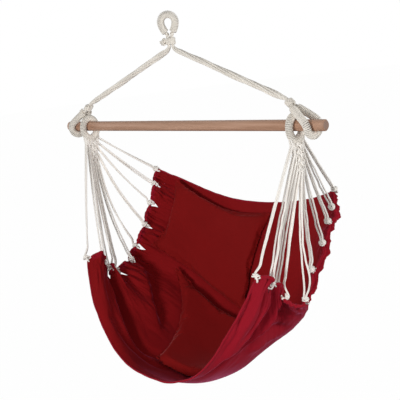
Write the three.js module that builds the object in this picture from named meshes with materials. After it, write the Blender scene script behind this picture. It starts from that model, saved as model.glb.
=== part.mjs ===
// Hanging hammock chair. One lashed eye carries two rope legs, the legs carry a round wooden
// spreader bar, and two whipped rings on the bar carry a cloth seat by eleven doubled cords a side.
// A back cushion and a seat cushion lie loose on the cloth.
// Millimetres, +Z up, the sitter faces -Y. The origin is the inside top of the eye,
// where a hook bears, and the bar runs along X straight below it.
import * as THREE from 'three';
import { mergeVertices } from 'three/addons/utils/BufferGeometryUtils.js';

// Fits
const fit_gap = 0.3;              // between pieces that touch
const bar_side_play = 1.5;        // between the bar and the sides of a rope loop
const weld_tolerance = 1e-4;

// Spreader bar
const bar_length = 1000;
const bar_diameter = 30;
const bar_chamfer = 3;
const eye_to_bar = 305;           // from the hook down to the bar's axis
const bar_sides = 32;

// Whipped rope of the eyes and rings: a core with twine wound round it
const core_diameter = 11.2;
const core_sides = 6;
const twine_diameter = 3.8;
const twine_sides = 4;
const twine_clearance = 1.3;      // core to twine at the corners of the winding
const winding_steps = 6;          // straight steps in one turn of twine
const winding_turns = 17;
const winding_relief = 0.9;       // the straight steps of a winding fall short of its round by this

// Top eye, a teardrop loop with a seized neck
const eye_hole_width = 20;
const eye_hole_height = 38;
const eye_neck_length = 26;
const eye_bare_length = 10;       // core left bare above the neck
const eye_turn = THREE.MathUtils.degToRad(35);
const eye_waist_width_share = 0.88;   // where the teardrop starts to narrow, of its half width
const eye_waist_height_share = 0.62;  // and of the height of its hole
const seizing_wall = 3.6;
const seizing_height = 20;

// Loops of the legs round the bar, outside the rings
const loop_inset = 40;            // in from the bar's end
const loop_apex_inset = 97;
const loop_apex_height = 52;      // above the bar's axis
const loop_hip_width_share = 0.77;    // where a loop starts to close under the bar
const loop_hip_drop_share = 1.15;     // of the bar's radius
const loop_shoulder_width_share = 0.93;
const loop_shoulder_inset_share = 0.7;
const leg_diameter = 19;
const leg_sides = 10;
const leg_taper_length = 45;
const leg_station_shares = [0.05, 0.12, 0.3, 0.5, 0.7, 0.88, 0.95];

// Rings that the seat hangs on
const ring_inset = 96;            // in from the bar's end
const ring_hole_height = 42;
const ring_core_steps = 24;
const route_steps = 24;           // along the core of an eye, a loop or a ring

// Woven clew under each ring
const weave_top_width = 58;
const weave_foot_width = 17;
const weave_thickness = 12;
const weave_foot_drop = 124;      // below the bar's axis

// Cords
const cord_diameter = 5;
const cord_sides = 5;
const cord_pair_gap = 0.8;        // between the two runs of a doubled cord
const bight_clearance = 1.4;      // round the border cord
const bight_shoulder = 1;         // straight above the border cord, on both sides of it
const knot_height_share = 2.4;    // of the bight's radius
const cord_station_shares = [1, 0.86, 0.7, 0.52, 0.34, 0.16];
const border_cord_diameter = 5;
const border_cord_sides = 6;

// Cloth seat
const cloth_thickness = 2;
const seat_half_width = 345;
const seat_back_reach = 216;      // behind the bar, at the back corners
const seat_drop = 695;            // from the bar's axis to the lowest point of the seat
const seat_lean_right_share = 0.142;  // how far the seat hangs aside of the bar, of its drop:
const seat_lean_front_share = 0.145;  // its cushions weigh it down on the left and at the back
const tab_length = 82;            // cut length of the hem between two notches
const weft_rise_power = 2.3;      // how round the cloth hangs from side to side
const weft_reach_power = 4.5;     // how late it turns in to the hem, front and back
const notch_depth = 18;
const notch_reach_share = 0.4;    // half width of a notch's mouth, of its tab
const pleat_depth_share = 0.33;
const pleat_slope_share = 0.5;    // most that a pleat stands out, of the way between its notches
const pleat_fade_power = 3;       // how soon the pleats die out from the hem to the middle
const tab_steps = 4;
const weft_steps = 14;

// Cushions
const back_cushion_thickness = 30;
const seat_cushion_thickness = 36;
const back_cushion_clearance = 1.1;   // to the cloth, which is flat between its bends
const seat_cushion_clearance = 1.8;
const cushion_steps = 12;
const cushion_side_pull_share = 0.05;
const cushion_seam_height_share = 0.4;
const cushion_crown_power = 4;        // how flat the crown is before it falls to the seam
const cushion_belly_power = 0.7;

// Hem notches from the back corner to the front corner, as shares of the seat's half width
// across, its back reach along Y and its drop along Z, measured from the bar's axis.
const left_notch_shares = [
  [0.997, 0.998, -0.259], [1, 0.913, -0.326], [0.994, 0.785, -0.401], [0.989, 0.607, -0.49],
  [0.98, 0.369, -0.563], [0.971, 0.203, -0.62], [0.92, -0.148, -0.626], [0.894, -0.244, -0.61],
  [0.903, -0.308, -0.595], [0.906, -0.402, -0.561], [0.909, -0.647, -0.526],
];
const right_notch_shares = [
  [0.997, 0.963, -0.312], [1, 0.883, -0.371], [0.994, 0.771, -0.422], [0.989, 0.605, -0.492],
  [0.98, 0.362, -0.574], [0.971, 0.169, -0.672], [0.92, -0.146, -0.624], [0.894, -0.205, -0.59],
  [0.903, -0.34, -0.57], [0.906, -0.4, -0.558], [0.909, -0.638, -0.511],
];

// Middle line of the cloth from its back edge to its front edge, as shares of the same sizes.
const middle_line_shares = [
  [1.318, -0.411], [1.209, -0.543], [1.1, -0.675], [0.993, -0.807], [0.727, -0.915],
  [0.318, -0.977], [-0.14, -0.999], [-0.591, -0.975], [-1.009, -0.915],
];

// Where each doubled cord leaves the weave, as shares of the weave's side from its foot to its top.
// The two middle cords leave through the foot.
const weave_exit_shares = [0.9, 0.72, 0.54, 0.35, 0.16, 0, 0, 0.16, 0.35, 0.54, 0.8];

// How far each doubled cord hangs off its straight line, as a share of its length.
const left_bow_shares = [0.01, 0.015, 0.03, 0.05, 0.08, 0.05, 0.015, 0.01, 0.01, 0.01, 0.01];
const right_bow_shares = [0.005, 0.01, 0.01, 0.02, 0.03, 0.03, 0.01, 0.012, 0.016, 0.016, 0.01];

// Corners of the cushions on the cloth, as shares of its half width and of its length:
// the edge towards the back first, each from left to right
const back_cushion_corner_shares = [[-0.86, 0.02], [0.19, 0.03], [-0.965, 0.395], [-0.1, 0.435]];
const seat_cushion_corner_shares = [[-0.82, 0.42], [0.25, 0.455], [-0.42, 0.86], [0.42, 0.86]];

const colours = {
  wood: 0xb98f72, rope: 0xe6dfd0, cloth: 0x8e1424, cushion: 0x7c1018,
};
const materials = {
  wood: { color: colours.wood, roughness: 0.6, metalness: 0 },
  rope: { color: colours.rope, roughness: 0.95, metalness: 0 },
  cloth: { color: colours.cloth, roughness: 0.9, metalness: 0 },
  cushion: { color: colours.cushion, roughness: 0.9, metalness: 0 },
};

const bar_radius = bar_diameter / 2;
const loop_station = bar_length / 2 - loop_inset;
const loop_apex_station = bar_length / 2 - loop_apex_inset;
const ring_station = bar_length / 2 - ring_inset;
const core_radius = core_diameter / 2;
const whipped_radius = core_radius + twine_clearance + twine_diameter;
const bar_z = -eye_to_bar;
const sides = [-1, 1];

const chair = new THREE.Group();

function add(name, geometry, finish) {
  const mesh = new THREE.Mesh(geometry, new THREE.MeshStandardMaterial(materials[finish]));
  mesh.name = name;
  chair.add(mesh);
  return mesh;
}

function weld(geometry) {
  geometry.deleteAttribute('normal');
  geometry.deleteAttribute('uv');
  const welded = mergeVertices(geometry, weld_tolerance);
  welded.computeVertexNormals();
  return welded;
}

// A route through points, with one step of a tube from each point to the next
class Route extends THREE.Curve {
  constructor(points) {
    super();
    this.points = points;
  }

  getUtoTmapping(u) {
    return u;
  }

  getPoint(t) {
    const place = t * (this.points.length - 1);
    const index = Math.min(Math.floor(place), this.points.length - 2);
    return this.points[index].clone().lerp(this.points[index + 1], place - index);
  }

  getTangent(t) {
    const last = this.points.length - 1;
    const index = Math.round(t * last);
    const tangent = new THREE.Vector3();
    if (index > 0) {
      tangent.add(this.points[index].clone().sub(this.points[index - 1]).normalize());
    }
    if (index < last) {
      tangent.add(this.points[index + 1].clone().sub(this.points[index]).normalize());
    }
    return tangent.normalize();
  }
}

function polygon(radius, count) {
  const corners = [];
  for (let i = 0; i < count; i += 1) {
    const angle = (2 * Math.PI * i) / count;
    corners.push(new THREE.Vector2(radius * Math.cos(angle), radius * Math.sin(angle)));
  }
  return new THREE.Shape(corners);
}

function tube(points, diameter, count) {
  const geometry = new THREE.ExtrudeGeometry(polygon(diameter / 2, count), {
    steps: points.length - 1,
    bevelEnabled: false,
    extrudePath: new Route(points),
  });
  return weld(geometry);
}

// A closed skin through rings of points, with a flat or domed fan at both ends
function loft(rings) {
  const count = rings[0].length;
  const triangles = [];
  for (let ring = 0; ring < rings.length - 1; ring += 1) {
    for (let i = 0; i < count; i += 1) {
      const next = (i + 1) % count;
      const a = ring * count + i;
      const b = ring * count + next;
      const c = a + count;
      const d = b + count;
      triangles.push(a, b, d, a, d, c);
    }
  }
  const last = (rings.length - 1) * count;
  for (let i = 1; i < count - 1; i += 1) {
    triangles.push(0, i + 1, i);
    triangles.push(last, last + i, last + i + 1);
  }
  return solid(rings.flat(), triangles);
}

function taperedTube(points, diameters, count) {
  const route = new Route(points);
  const frames = route.computeFrenetFrames(points.length - 1, false);
  const rings = points.map((point, index) => {
    const ring = [];
    for (let i = 0; i < count; i += 1) {
      const angle = (2 * Math.PI * i) / count;
      const along_normal = frames.normals[index].clone().multiplyScalar(Math.cos(angle));
      const along_binormal = frames.binormals[index].clone().multiplyScalar(Math.sin(angle));
      const radial = along_normal.add(along_binormal).multiplyScalar(diameters[index] / 2);
      ring.push(point.clone().add(radial));
    }
    return ring;
  });
  return loft(rings);
}

// Points evenly spaced on a smooth curve through hand-placed points
function smooth(points, steps) {
  return new THREE.CatmullRomCurve3(points, false, 'centripetal').getSpacedPoints(steps);
}

// The same, with the first and last stretch left straight
function smoothBetweenEnds(points, steps) {
  return [points[0], ...smooth(points.slice(1, -1), steps), points.at(-1)];
}

// Twine wound round a core: one unbroken route, from one end of the core's route to the other
function windingRoute(core_points, turns) {
  const curve = new THREE.CatmullRomCurve3(core_points, false, 'centripetal');
  const steps = turns * winding_steps;
  const frames = curve.computeFrenetFrames(steps, false);
  const radius = core_radius + twine_clearance + twine_diameter / 2;
  const route = [];
  for (let i = 0; i <= steps; i += 1) {
    const angle = (2 * Math.PI * i) / winding_steps;
    const normal = frames.normals[i].clone().multiplyScalar(radius * Math.cos(angle));
    const binormal = frames.binormals[i].clone().multiplyScalar(radius * Math.sin(angle));
    route.push(curve.getPointAt(i / steps).add(normal).add(binormal));
  }
  return route;
}

// Least gap between the turns of a winding, measured between points along its steps
function leastGap(route) {
  const samples = [];
  const cuts = 4;
  for (let i = 0; i < route.length - 1; i += 1) {
    for (let k = 0; k < cuts; k += 1) {
      samples.push(route[i].clone().lerp(route[i + 1], k / cuts));
    }
  }
  let least = Infinity;
  const apart = Math.round((winding_steps * cuts) / 2);
  for (let i = 0; i < samples.length; i += 1) {
    for (let j = i + apart; j < samples.length; j += 1) {
      least = Math.min(least, samples[i].distanceTo(samples[j]));
    }
  }
  return least - twine_diameter;
}

function addWinding(name, core_points, turns) {
  const route = windingRoute(core_points, turns);
  console.log(`${name}: least gap between turns ${leastGap(route).toFixed(2)} mm`);
  return add(name, tube(route, twine_diameter, twine_sides), 'rope');
}

// Band lashed round two runs of rope that lie side by side
function seizing(half_spacing, height) {
  const inner = core_radius + 2 * fit_gap;
  const outline = new THREE.Shape();
  const hole = new THREE.Path();
  for (const [path, radius] of [[outline, inner + seizing_wall], [hole, inner]]) {
    path.moveTo(half_spacing, -radius);
    path.absarc(half_spacing, 0, radius, -Math.PI / 2, Math.PI / 2, false);
    path.absarc(-half_spacing, 0, radius, Math.PI / 2, (3 * Math.PI) / 2, false);
  }
  outline.holes.push(hole);
  const band = new THREE.ExtrudeGeometry(outline, {
    depth: height, steps: 1, bevelEnabled: false, curveSegments: 6,
  });
  return weld(band);
}

// Spreader bar, turned with chamfered ends
function addBar() {
  const half = bar_length / 2;
  const profile = [
    new THREE.Vector2(0, -half),
    new THREE.Vector2(bar_radius - bar_chamfer, -half),
    new THREE.Vector2(bar_radius, -half + bar_chamfer),
    new THREE.Vector2(bar_radius, half - bar_chamfer),
    new THREE.Vector2(bar_radius - bar_chamfer, half),
    new THREE.Vector2(0, half),
  ];
  const bar = add('spreader_bar', weld(new THREE.LatheGeometry(profile, bar_sides)), 'wood');
  bar.rotation.z = -Math.PI / 2;
  bar.position.z = bar_z;
}

// Top eye. Its two runs meet at the neck, where the legs begin.
const neck_half_spacing = core_radius + fit_gap;
const eye_half_width = eye_hole_width / 2 + whipped_radius;
const run_half_spacing = whipped_radius + fit_gap;
const eye_crown_z = whipped_radius;
const eye_crotch_z = -eye_hole_height;
const neck_top_z = eye_crotch_z - eye_bare_length;
const neck_foot_z = neck_top_z - eye_neck_length;

function eyeRoute() {
  const crown = [90, 60, 30, 0].map((degrees) => {
    const angle = THREE.MathUtils.degToRad(degrees);
    const rise = Math.sin(angle) - 1;
    return [eye_half_width * Math.cos(angle), eye_crown_z + eye_half_width * rise];
  });
  const half_outline = [
    ...crown,
    [eye_half_width * eye_waist_width_share, -eye_hole_height * eye_waist_height_share],
    [run_half_spacing, eye_crotch_z],
    [neck_half_spacing, neck_top_z],
    [neck_half_spacing, neck_foot_z],
  ];
  const right = half_outline.map(([u, z]) => new THREE.Vector3(u, 0, z));
  const left = half_outline.slice(1).map(([u, z]) => new THREE.Vector3(-u, 0, z));
  return [...left.reverse(), ...right];
}

function addTopEye() {
  const eye = new THREE.Group();
  eye.rotation.z = eye_turn;
  chair.add(eye);
  const route = eyeRoute();
  const core = tube(smoothBetweenEnds(route, route_steps), core_diameter, core_sides);
  eye.add(add('top_eye_core', core, 'rope'));
  eye.add(addWinding('top_eye_whipping', route.slice(2, -2), winding_turns));
  const band = add('eye_seizing', seizing(neck_half_spacing, seizing_height), 'rope');
  band.position.z = neck_foot_z + fit_gap;
  eye.add(band);
}

// Where a side's leg leaves the neck of the eye
function neckFoot(side) {
  const along = new THREE.Vector3(Math.cos(eye_turn), Math.sin(eye_turn), 0);
  return along.multiplyScalar(side * neck_half_spacing).setZ(neck_foot_z);
}

// Loop of a leg round the bar: its runs rise beside the bar and lean inwards to the apex
const loop_half_width = bar_radius + bar_side_play + whipped_radius;
const loop_foot_z = bar_z - bar_radius - fit_gap - whipped_radius;
const loop_apex_z = bar_z + loop_apex_height;

function loopDirection() {
  const rise = loop_apex_height;
  const run = loop_station - loop_apex_station;
  return new THREE.Vector3(-run, 0, rise).normalize();
}

function loopRoute(side) {
  const apex = new THREE.Vector3(loop_apex_station, 0, loop_apex_z);
  const lean = loopDirection();
  const start = apex.clone().addScaledVector(lean, seizing_height + fit_gap);
  const shoulder = apex.clone().addScaledVector(lean, -eye_bare_length);
  const hip_half_width = loop_half_width * loop_hip_width_share;
  const shoulder_half_width = loop_half_width * loop_shoulder_width_share;
  const shoulder_inset = bar_radius * loop_shoulder_inset_share;
  const half_outline = [
    [loop_station, 0, loop_foot_z],
    [loop_station, hip_half_width, bar_z - bar_radius * loop_hip_drop_share],
    [loop_station, loop_half_width, bar_z],
    [loop_station - shoulder_inset, shoulder_half_width, bar_z + bar_radius],
    [shoulder.x, run_half_spacing, shoulder.z],
    [apex.x, neck_half_spacing, apex.z],
    [start.x, neck_half_spacing, start.z],
  ];
  const far = half_outline.map(([x, y, z]) => new THREE.Vector3(side * x, y, z));
  const near = half_outline.slice(1).map(([x, y, z]) => new THREE.Vector3(side * x, -y, z));
  return [...near.reverse(), ...far];
}

function addLoop(side, word) {
  const route = loopRoute(side);
  const core = tube(smoothBetweenEnds(route, route_steps), core_diameter, core_sides);
  add(`loop_core_${word}`, core, 'rope');
  addWinding(`loop_whipping_${word}`, route.slice(2, -2), winding_turns);
  const band = add(`loop_seizing_${word}`, seizing(neck_half_spacing, seizing_height), 'rope');
  const lean = loopDirection();
  lean.x *= side;
  const across = new THREE.Vector3(0, 1, 0);
  const out = new THREE.Vector3().crossVectors(lean, across);
  band.setRotationFromMatrix(new THREE.Matrix4().makeBasis(across, out, lean));
  band.position.set(side * loop_apex_station, 0, loop_apex_z);
}

// Leg from the neck of the eye to the apex of its loop
function addLeg(side, word) {
  const lean = loopDirection();
  lean.x *= side;
  const foot = new THREE.Vector3(side * loop_apex_station, 0, loop_apex_z);
  foot.addScaledVector(lean, seizing_height + 2 * fit_gap);
  const foot_end = foot.clone().addScaledVector(lean, core_radius);
  const top = neckFoot(side).add(new THREE.Vector3(0, 0, -fit_gap));
  const top_end = top.clone().add(new THREE.Vector3(0, 0, -core_radius));
  const way = foot_end.clone().sub(top_end).normalize();
  const bend = top_end.clone().addScaledVector(way, core_diameter);
  bend.z -= core_radius;
  const span = foot_end.clone().sub(bend);
  const route = [top, top_end, bend];
  for (const share of leg_station_shares) {
    route.push(bend.clone().addScaledVector(span, share));
  }
  route.push(foot_end, foot);
  const diameters = route.map((point) => {
    const from_end = Math.min(point.distanceTo(top_end), point.distanceTo(foot_end));
    const share = point === top || point === foot ? 0 : Math.min(1, from_end / leg_taper_length);
    return core_diameter + (leg_diameter - core_diameter) * Math.sin((share * Math.PI) / 2);
  });
  add(`leg_${word}`, taperedTube(route, diameters, leg_sides), 'rope');
}

// Ring that hangs on the bar, an oval of whipped rope
const ring_half_width = bar_radius + bar_side_play + whipped_radius;
const ring_half_height = ring_hole_height / 2 + whipped_radius;
const ring_crown_z = bar_z + bar_radius + fit_gap + whipped_radius - winding_relief;
const ring_z = ring_crown_z - ring_half_height;

function ringPoint(side, angle) {
  const y = ring_half_width * Math.cos(angle);
  const z = ring_z + ring_half_height * Math.sin(angle);
  return new THREE.Vector3(side * ring_station, y, z);
}

function addRing(side, word) {
  const round = new THREE.TorusGeometry(ring_half_width, core_radius, core_sides, ring_core_steps);
  const position = round.attributes.position;
  const stretch = ring_half_height - ring_half_width;
  for (let i = 0; i < position.count; i += 1) {
    const angle = Math.atan2(position.getY(i), position.getX(i));
    position.setY(i, position.getY(i) + stretch * Math.sin(angle));
  }
  const ring = add(`ring_core_${word}`, weld(round), 'rope');
  ring.rotation.set(Math.PI / 2, Math.PI / 2, 0);
  ring.position.set(side * ring_station, 0, ring_z);
  const perimeter_turns = winding_turns + 1;
  const spare = Math.PI / perimeter_turns;
  const start = -Math.PI / 2 + spare;
  const sweep = 2 * Math.PI - 2 * spare;
  const route = [];
  for (let i = 0; i <= route_steps; i += 1) {
    route.push(ringPoint(side, start + (sweep * i) / route_steps));
  }
  addWinding(`ring_whipping_${word}`, route, winding_turns);
}

// Weave of the cords under the ring: a wedge whose top follows the ring
const weave_foot_z = bar_z - weave_foot_drop;
const weave_reach = ring_half_width + whipped_radius + fit_gap - winding_relief;
const weave_drop = ring_half_height + whipped_radius + fit_gap - winding_relief;
const weave_arc = Math.asin(weave_top_width / 2 / weave_reach);
const weave_top_z = ring_z - weave_drop * Math.cos(weave_arc);

function addWeave(side, word) {
  const outline = new THREE.Shape();
  outline.moveTo(-weave_foot_width / 2, weave_foot_z);
  outline.lineTo(weave_foot_width / 2, weave_foot_z);
  outline.lineTo(weave_top_width / 2, weave_top_z);
  const from = weave_arc - Math.PI / 2;
  outline.absellipse(0, ring_z, weave_reach, weave_drop, from, -Math.PI - from, true);
  const wedge = new THREE.ExtrudeGeometry(outline, {
    depth: weave_thickness, steps: 1, bevelEnabled: false, curveSegments: 10,
  });
  const weave = add(`clew_weave_${word}`, weld(wedge), 'rope');
  weave.rotation.set(Math.PI / 2, Math.PI / 2, 0);
  weave.position.set(side * ring_station - weave_thickness / 2, 0, 0);
}

// Places on the cloth. u runs from -1 at the left hem to 1 at the right hem,
// v from 0 at the back edge to 1 at the front edge.
const notch_shares = new Map([[-1, left_notch_shares], [1, right_notch_shares]]);
const notches = new Map();
for (const side of sides) {
  notches.set(side, notch_shares.get(side).map(([x, y, z]) => new THREE.Vector3(
    side * x * seat_half_width,
    y * seat_back_reach,
    bar_z + z * seat_drop,
  )));
}
const tab_count = left_notch_shares.length - 1;
const hems = new Map(sides.map((side) => [
  side, new THREE.CatmullRomCurve3(notches.get(side), false, 'catmullrom', 0.5),
]));
const middle_line = new THREE.CatmullRomCurve3(middle_line_shares.map(([y, z]) => (
  new THREE.Vector3(0, y * seat_back_reach, bar_z + z * seat_drop)
)), false, 'catmullrom', 0.5);

function drapedPoint(u, v) {
  const hem = hems.get(u < 0 ? -1 : 1).getPoint(v);
  const middle = middle_line.getPoint(v);
  const across = Math.abs(u);
  const rise = across ** weft_rise_power;
  const reach = across ** weft_reach_power;
  const z = middle.z + (hem.z - middle.z) * rise;
  const drop = bar_z - z;
  return new THREE.Vector3(
    hem.x * across + drop * seat_lean_right_share,
    middle.y + (hem.y - middle.y) * reach - drop * seat_lean_front_share,
    z,
  );
}

// Unit normal of the draped cloth on the sitter's side
function sitterNormal(u, v) {
  const delta = 1e-3;
  const u_low = Math.min(Math.max(u - delta, -1), u < 0 ? 0 : 1 - 2 * delta);
  const v_low = Math.min(Math.max(v - delta, 0), 1 - 2 * delta);
  const across = drapedPoint(u_low + 2 * delta, v).sub(drapedPoint(u_low, v));
  const along = drapedPoint(u, v_low + 2 * delta).sub(drapedPoint(u, v_low));
  return across.cross(along).normalize().negate();
}

// The hem is longer than the way from notch to notch, so each tab stands out in a pleat,
// to one side and the other in turn, and the pleats die out towards the middle.
function pleatDepth(side, tab) {
  const points = notches.get(side);
  const chord = points[tab].distanceTo(points[tab + 1]);
  const spare = Math.sqrt(Math.max(tab_length * tab_length - chord * chord, 0));
  const depth = Math.min(pleat_depth_share * spare, pleat_slope_share * chord);
  return (tab % 2 === 0) === (side < 0) ? depth : -depth;
}

function pleatReach(u) {
  const side = u < 0 ? -1 : 1;
  const depths = [];
  for (let tab = 0; tab < tab_count; tab += 1) {
    depths.push(Math.abs(pleatDepth(side, tab)));
  }
  return Math.max(...depths) * Math.abs(u) ** pleat_fade_power;
}

function clothPoint(u, v) {
  const side = u < 0 ? -1 : 1;
  const tab = Math.min(Math.floor(v * tab_count + 1e-9), tab_count - 1);
  const place = v * tab_count - tab;
  const across = Math.abs(u);
  const depth = pleatDepth(side, tab) * Math.sin(Math.PI * place) * across ** pleat_fade_power;
  return drapedPoint(u, v).addScaledVector(sitterNormal(u, v), -depth);
}

// Share of the half width at which the cloth's edge lies, inside the border cord
const edge_inset = border_cord_diameter / 2 + cloth_thickness + fit_gap;

function edgeShare(side, v) {
  const place = (v * tab_count) % 1;
  const from_notch = Math.min(place, 1 - place);
  const dip = notch_depth * Math.max(0, 1 - from_notch / notch_reach_share);
  const share = 0.01;
  const reach = drapedPoint(side, v).distanceTo(drapedPoint(side * (1 - share), v)) / share;
  return 1 - (edge_inset + dip) / reach;
}

function addCloth() {
  const rows = tab_count * tab_steps;
  const faces = [[], []];
  for (let row = 0; row <= rows; row += 1) {
    const v = row / rows;
    const left = -edgeShare(-1, v);
    const right = edgeShare(1, v);
    for (let column = 0; column <= weft_steps; column += 1) {
      const u = left + ((right - left) * column) / weft_steps;
      const normal = sitterNormal(u, v);
      const point = clothPoint(u, v);
      faces[0].push(point.clone().addScaledVector(normal, cloth_thickness / 2));
      faces[1].push(point.clone().addScaledVector(normal, -cloth_thickness / 2));
    }
  }
  const triangles = [...gridFaces(rows, weft_steps), ...rimFaces(rows, weft_steps)];
  add('seat_fabric', solid(faces.flat(), triangles), 'cloth');
}

// Triangles of two grids of points that face away from each other
function gridFaces(rows, columns) {
  const width = columns + 1;
  const count = (rows + 1) * width;
  const triangles = [];
  for (let row = 0; row < rows; row += 1) {
    for (let column = 0; column < columns; column += 1) {
      const a = row * width + column;
      const b = a + 1;
      const c = a + width;
      const d = c + 1;
      triangles.push(a, c, b, b, c, d);
      triangles.push(count + a, count + b, count + c, count + b, count + d, count + c);
    }
  }
  return triangles;
}

// A strip that joins the edges of the two grids
function rimFaces(rows, columns) {
  const width = columns + 1;
  const count = (rows + 1) * width;
  const rim = [];
  for (let column = 0; column < columns; column += 1) {
    const far = rows * width + column;
    rim.push([column, column + 1], [far + 1, far]);
  }
  for (let row = 0; row < rows; row += 1) {
    const near = row * width;
    rim.push([near + width, near], [near + columns, near + columns + width]);
  }
  return rim.flatMap(([a, b]) => [a, b, count + b, a, count + b, count + a]);
}

function solid(points, triangles) {
  const positions = points.flatMap((point) => [point.x, point.y, point.z]);
  const geometry = new THREE.BufferGeometry();
  geometry.setAttribute('position', new THREE.Float32BufferAttribute(positions, 3));
  geometry.setIndex(triangles);
  return weld(geometry);
}

// Border cord in the hem of one side, from corner to corner
function borderPoints(side) {
  const points = [];
  const steps = tab_count * tab_steps;
  for (let i = 0; i <= steps; i += 1) {
    points.push(clothPoint(side, i / steps));
  }
  return points;
}

function addBorderCord(side, word) {
  const route = borderPoints(side);
  add(`border_cord_${word}`, tube(route, border_cord_diameter, border_cord_sides), 'rope');
}

// Doubled cord from the weave down to a notch, round the border cord and back
const bight_radius = border_cord_diameter / 2 + cord_diameter / 2 + bight_clearance;
const pair_half_spacing = (cord_diameter + cord_pair_gap) / 2;
const middle_cord = Math.floor(tab_count / 2);

function weaveExit(side, index) {
  const behind = index <= middle_cord ? 1 : -1;
  const share = weave_exit_shares[index];
  const half_foot = weave_foot_width / 2;
  if (share === 0) {
    return {
      point: new THREE.Vector3(side * ring_station, (behind * half_foot) / 2, weave_foot_z),
      wall: new THREE.Vector3(0, 0, -1),
    };
  }
  const foot = new THREE.Vector3(side * ring_station, behind * half_foot, weave_foot_z);
  const top = new THREE.Vector3(side * ring_station, behind * (weave_top_width / 2), weave_top_z);
  const along = top.clone().sub(foot).normalize();
  return {
    point: foot.lerp(top, share),
    wall: new THREE.Vector3(0, behind * along.z, -behind * along.y),
  };
}

function cordRoute(side, index) {
  const border = borderPoints(side);
  const place = index * tab_steps;
  const hem = border[place];
  const before = border[Math.max(place - 1, 0)];
  const after = border[Math.min(place + 1, border.length - 1)];
  const along_hem = after.clone().sub(before).normalize();
  const { point, wall } = weaveExit(side, index);
  const pull = point.clone().sub(hem).normalize();
  const tilt = Math.sqrt(Math.max(0, 1 - pull.dot(wall) ** 2));
  const exit = point.clone().addScaledVector(wall, fit_gap + (cord_diameter / 2) * tilt + fit_gap);
  const up = pull.clone().addScaledVector(along_hem, -pull.dot(along_hem)).normalize();
  const beside = new THREE.Vector3().crossVectors(along_hem, up).normalize();
  if (beside.x < 0) {
    beside.negate();
  }
  const span = exit.clone().sub(hem);
  const shares = (side < 0 ? left_bow_shares : right_bow_shares);
  const bow = shares[index] * span.length();
  const bow_way = new THREE.Vector3(0, -span.z, span.y).normalize();
  if (bow_way.y > 0) {
    bow_way.negate();
  }
  const across = new THREE.Vector3(1, 0, 0);
  const runs = [];
  for (const run of [1, -1]) {
    const points = [];
    for (const share of cord_station_shares) {
      const centre = hem.clone().addScaledVector(span, share);
      centre.addScaledVector(bow_way, bow * Math.sin(Math.PI * share));
      const spread = across.clone().lerp(beside, 1 - share).normalize();
      points.push(centre.addScaledVector(spread, run * pair_half_spacing));
    }
    const knot = hem.clone().addScaledVector(up, bight_radius * knot_height_share);
    points.push(knot.addScaledVector(beside, run * pair_half_spacing));
    const shoulder = hem.clone().addScaledVector(beside, run * bight_radius);
    points.push(shoulder.addScaledVector(up, bight_shoulder));
    const corner = hem.clone().addScaledVector(beside, run * bight_radius * Math.SQRT1_2);
    points.push(corner.addScaledVector(up, -bight_radius * Math.SQRT1_2));
    runs.push(points);
  }
  const turn = hem.clone().addScaledVector(up, -bight_radius);
  return [...runs[0], turn, ...runs[1].reverse()];
}

function addCords(side, word) {
  for (let index = 0; index <= tab_count; index += 1) {
    const name = `cord_${word}_${String(index + 1).padStart(2, '0')}`;
    add(name, tube(cordRoute(side, index), cord_diameter, cord_sides), 'rope');
  }
}

// Cushion on the cloth: a crowned front, a back that follows the cloth, a seam between them,
// corners that stand out and sides that draw in
function addCushion(name, corner_shares, thickness, clearance) {
  const steps = cushion_steps;
  const corners = corner_shares.map(([u, v]) => new THREE.Vector2(u, v));
  const front = [];
  const back = [];
  for (let row = 0; row <= steps; row += 1) {
    for (let column = 0; column <= steps; column += 1) {
      const s = (2 * column) / steps - 1;
      const t = (2 * row) / steps - 1;
      const s_drawn = s * (1 - cushion_side_pull_share * (1 - t * t));
      const t_drawn = t * (1 - cushion_side_pull_share * (1 - s * s));
      const near = corners[0].clone().lerp(corners[1], (s_drawn + 1) / 2);
      const far = corners[2].clone().lerp(corners[3], (s_drawn + 1) / 2);
      const { x: u, y: v } = near.lerp(far, (t_drawn + 1) / 2);
      const fill = Math.sqrt((1 - s ** cushion_crown_power) * (1 - t ** cushion_crown_power));
      const seam = cushion_seam_height_share * thickness;
      const base = drapedPoint(u, v);
      const normal = sitterNormal(u, v);
      const lift = cloth_thickness / 2 + clearance + pleatReach(u);
      front.push(base.clone().addScaledVector(normal, lift + seam + (thickness - seam) * fill));
      back.push(base.clone().addScaledVector(normal, lift + seam * (1 - fill ** cushion_belly_power)));
    }
  }
  add(name, solid([...front, ...back], gridFaces(steps, steps)), 'cushion');
}

addBar();
addTopEye();
for (const side of sides) {
  const word = side < 0 ? 'left' : 'right';
  addLoop(side, word);
  addLeg(side, word);
  addRing(side, word);
  addWeave(side, word);
  addCords(side, word);
  addBorderCord(side, word);
}
addCloth();
addCushion('back_cushion', back_cushion_corner_shares, back_cushion_thickness, back_cushion_clearance);
addCushion('seat_cushion', seat_cushion_corner_shares, seat_cushion_thickness, seat_cushion_clearance);

export default chair;
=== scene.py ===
import math

import bpy
import numpy as np
from mathutils import Matrix, Vector, noise
from mathutils.kdtree import KDTree


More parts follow.
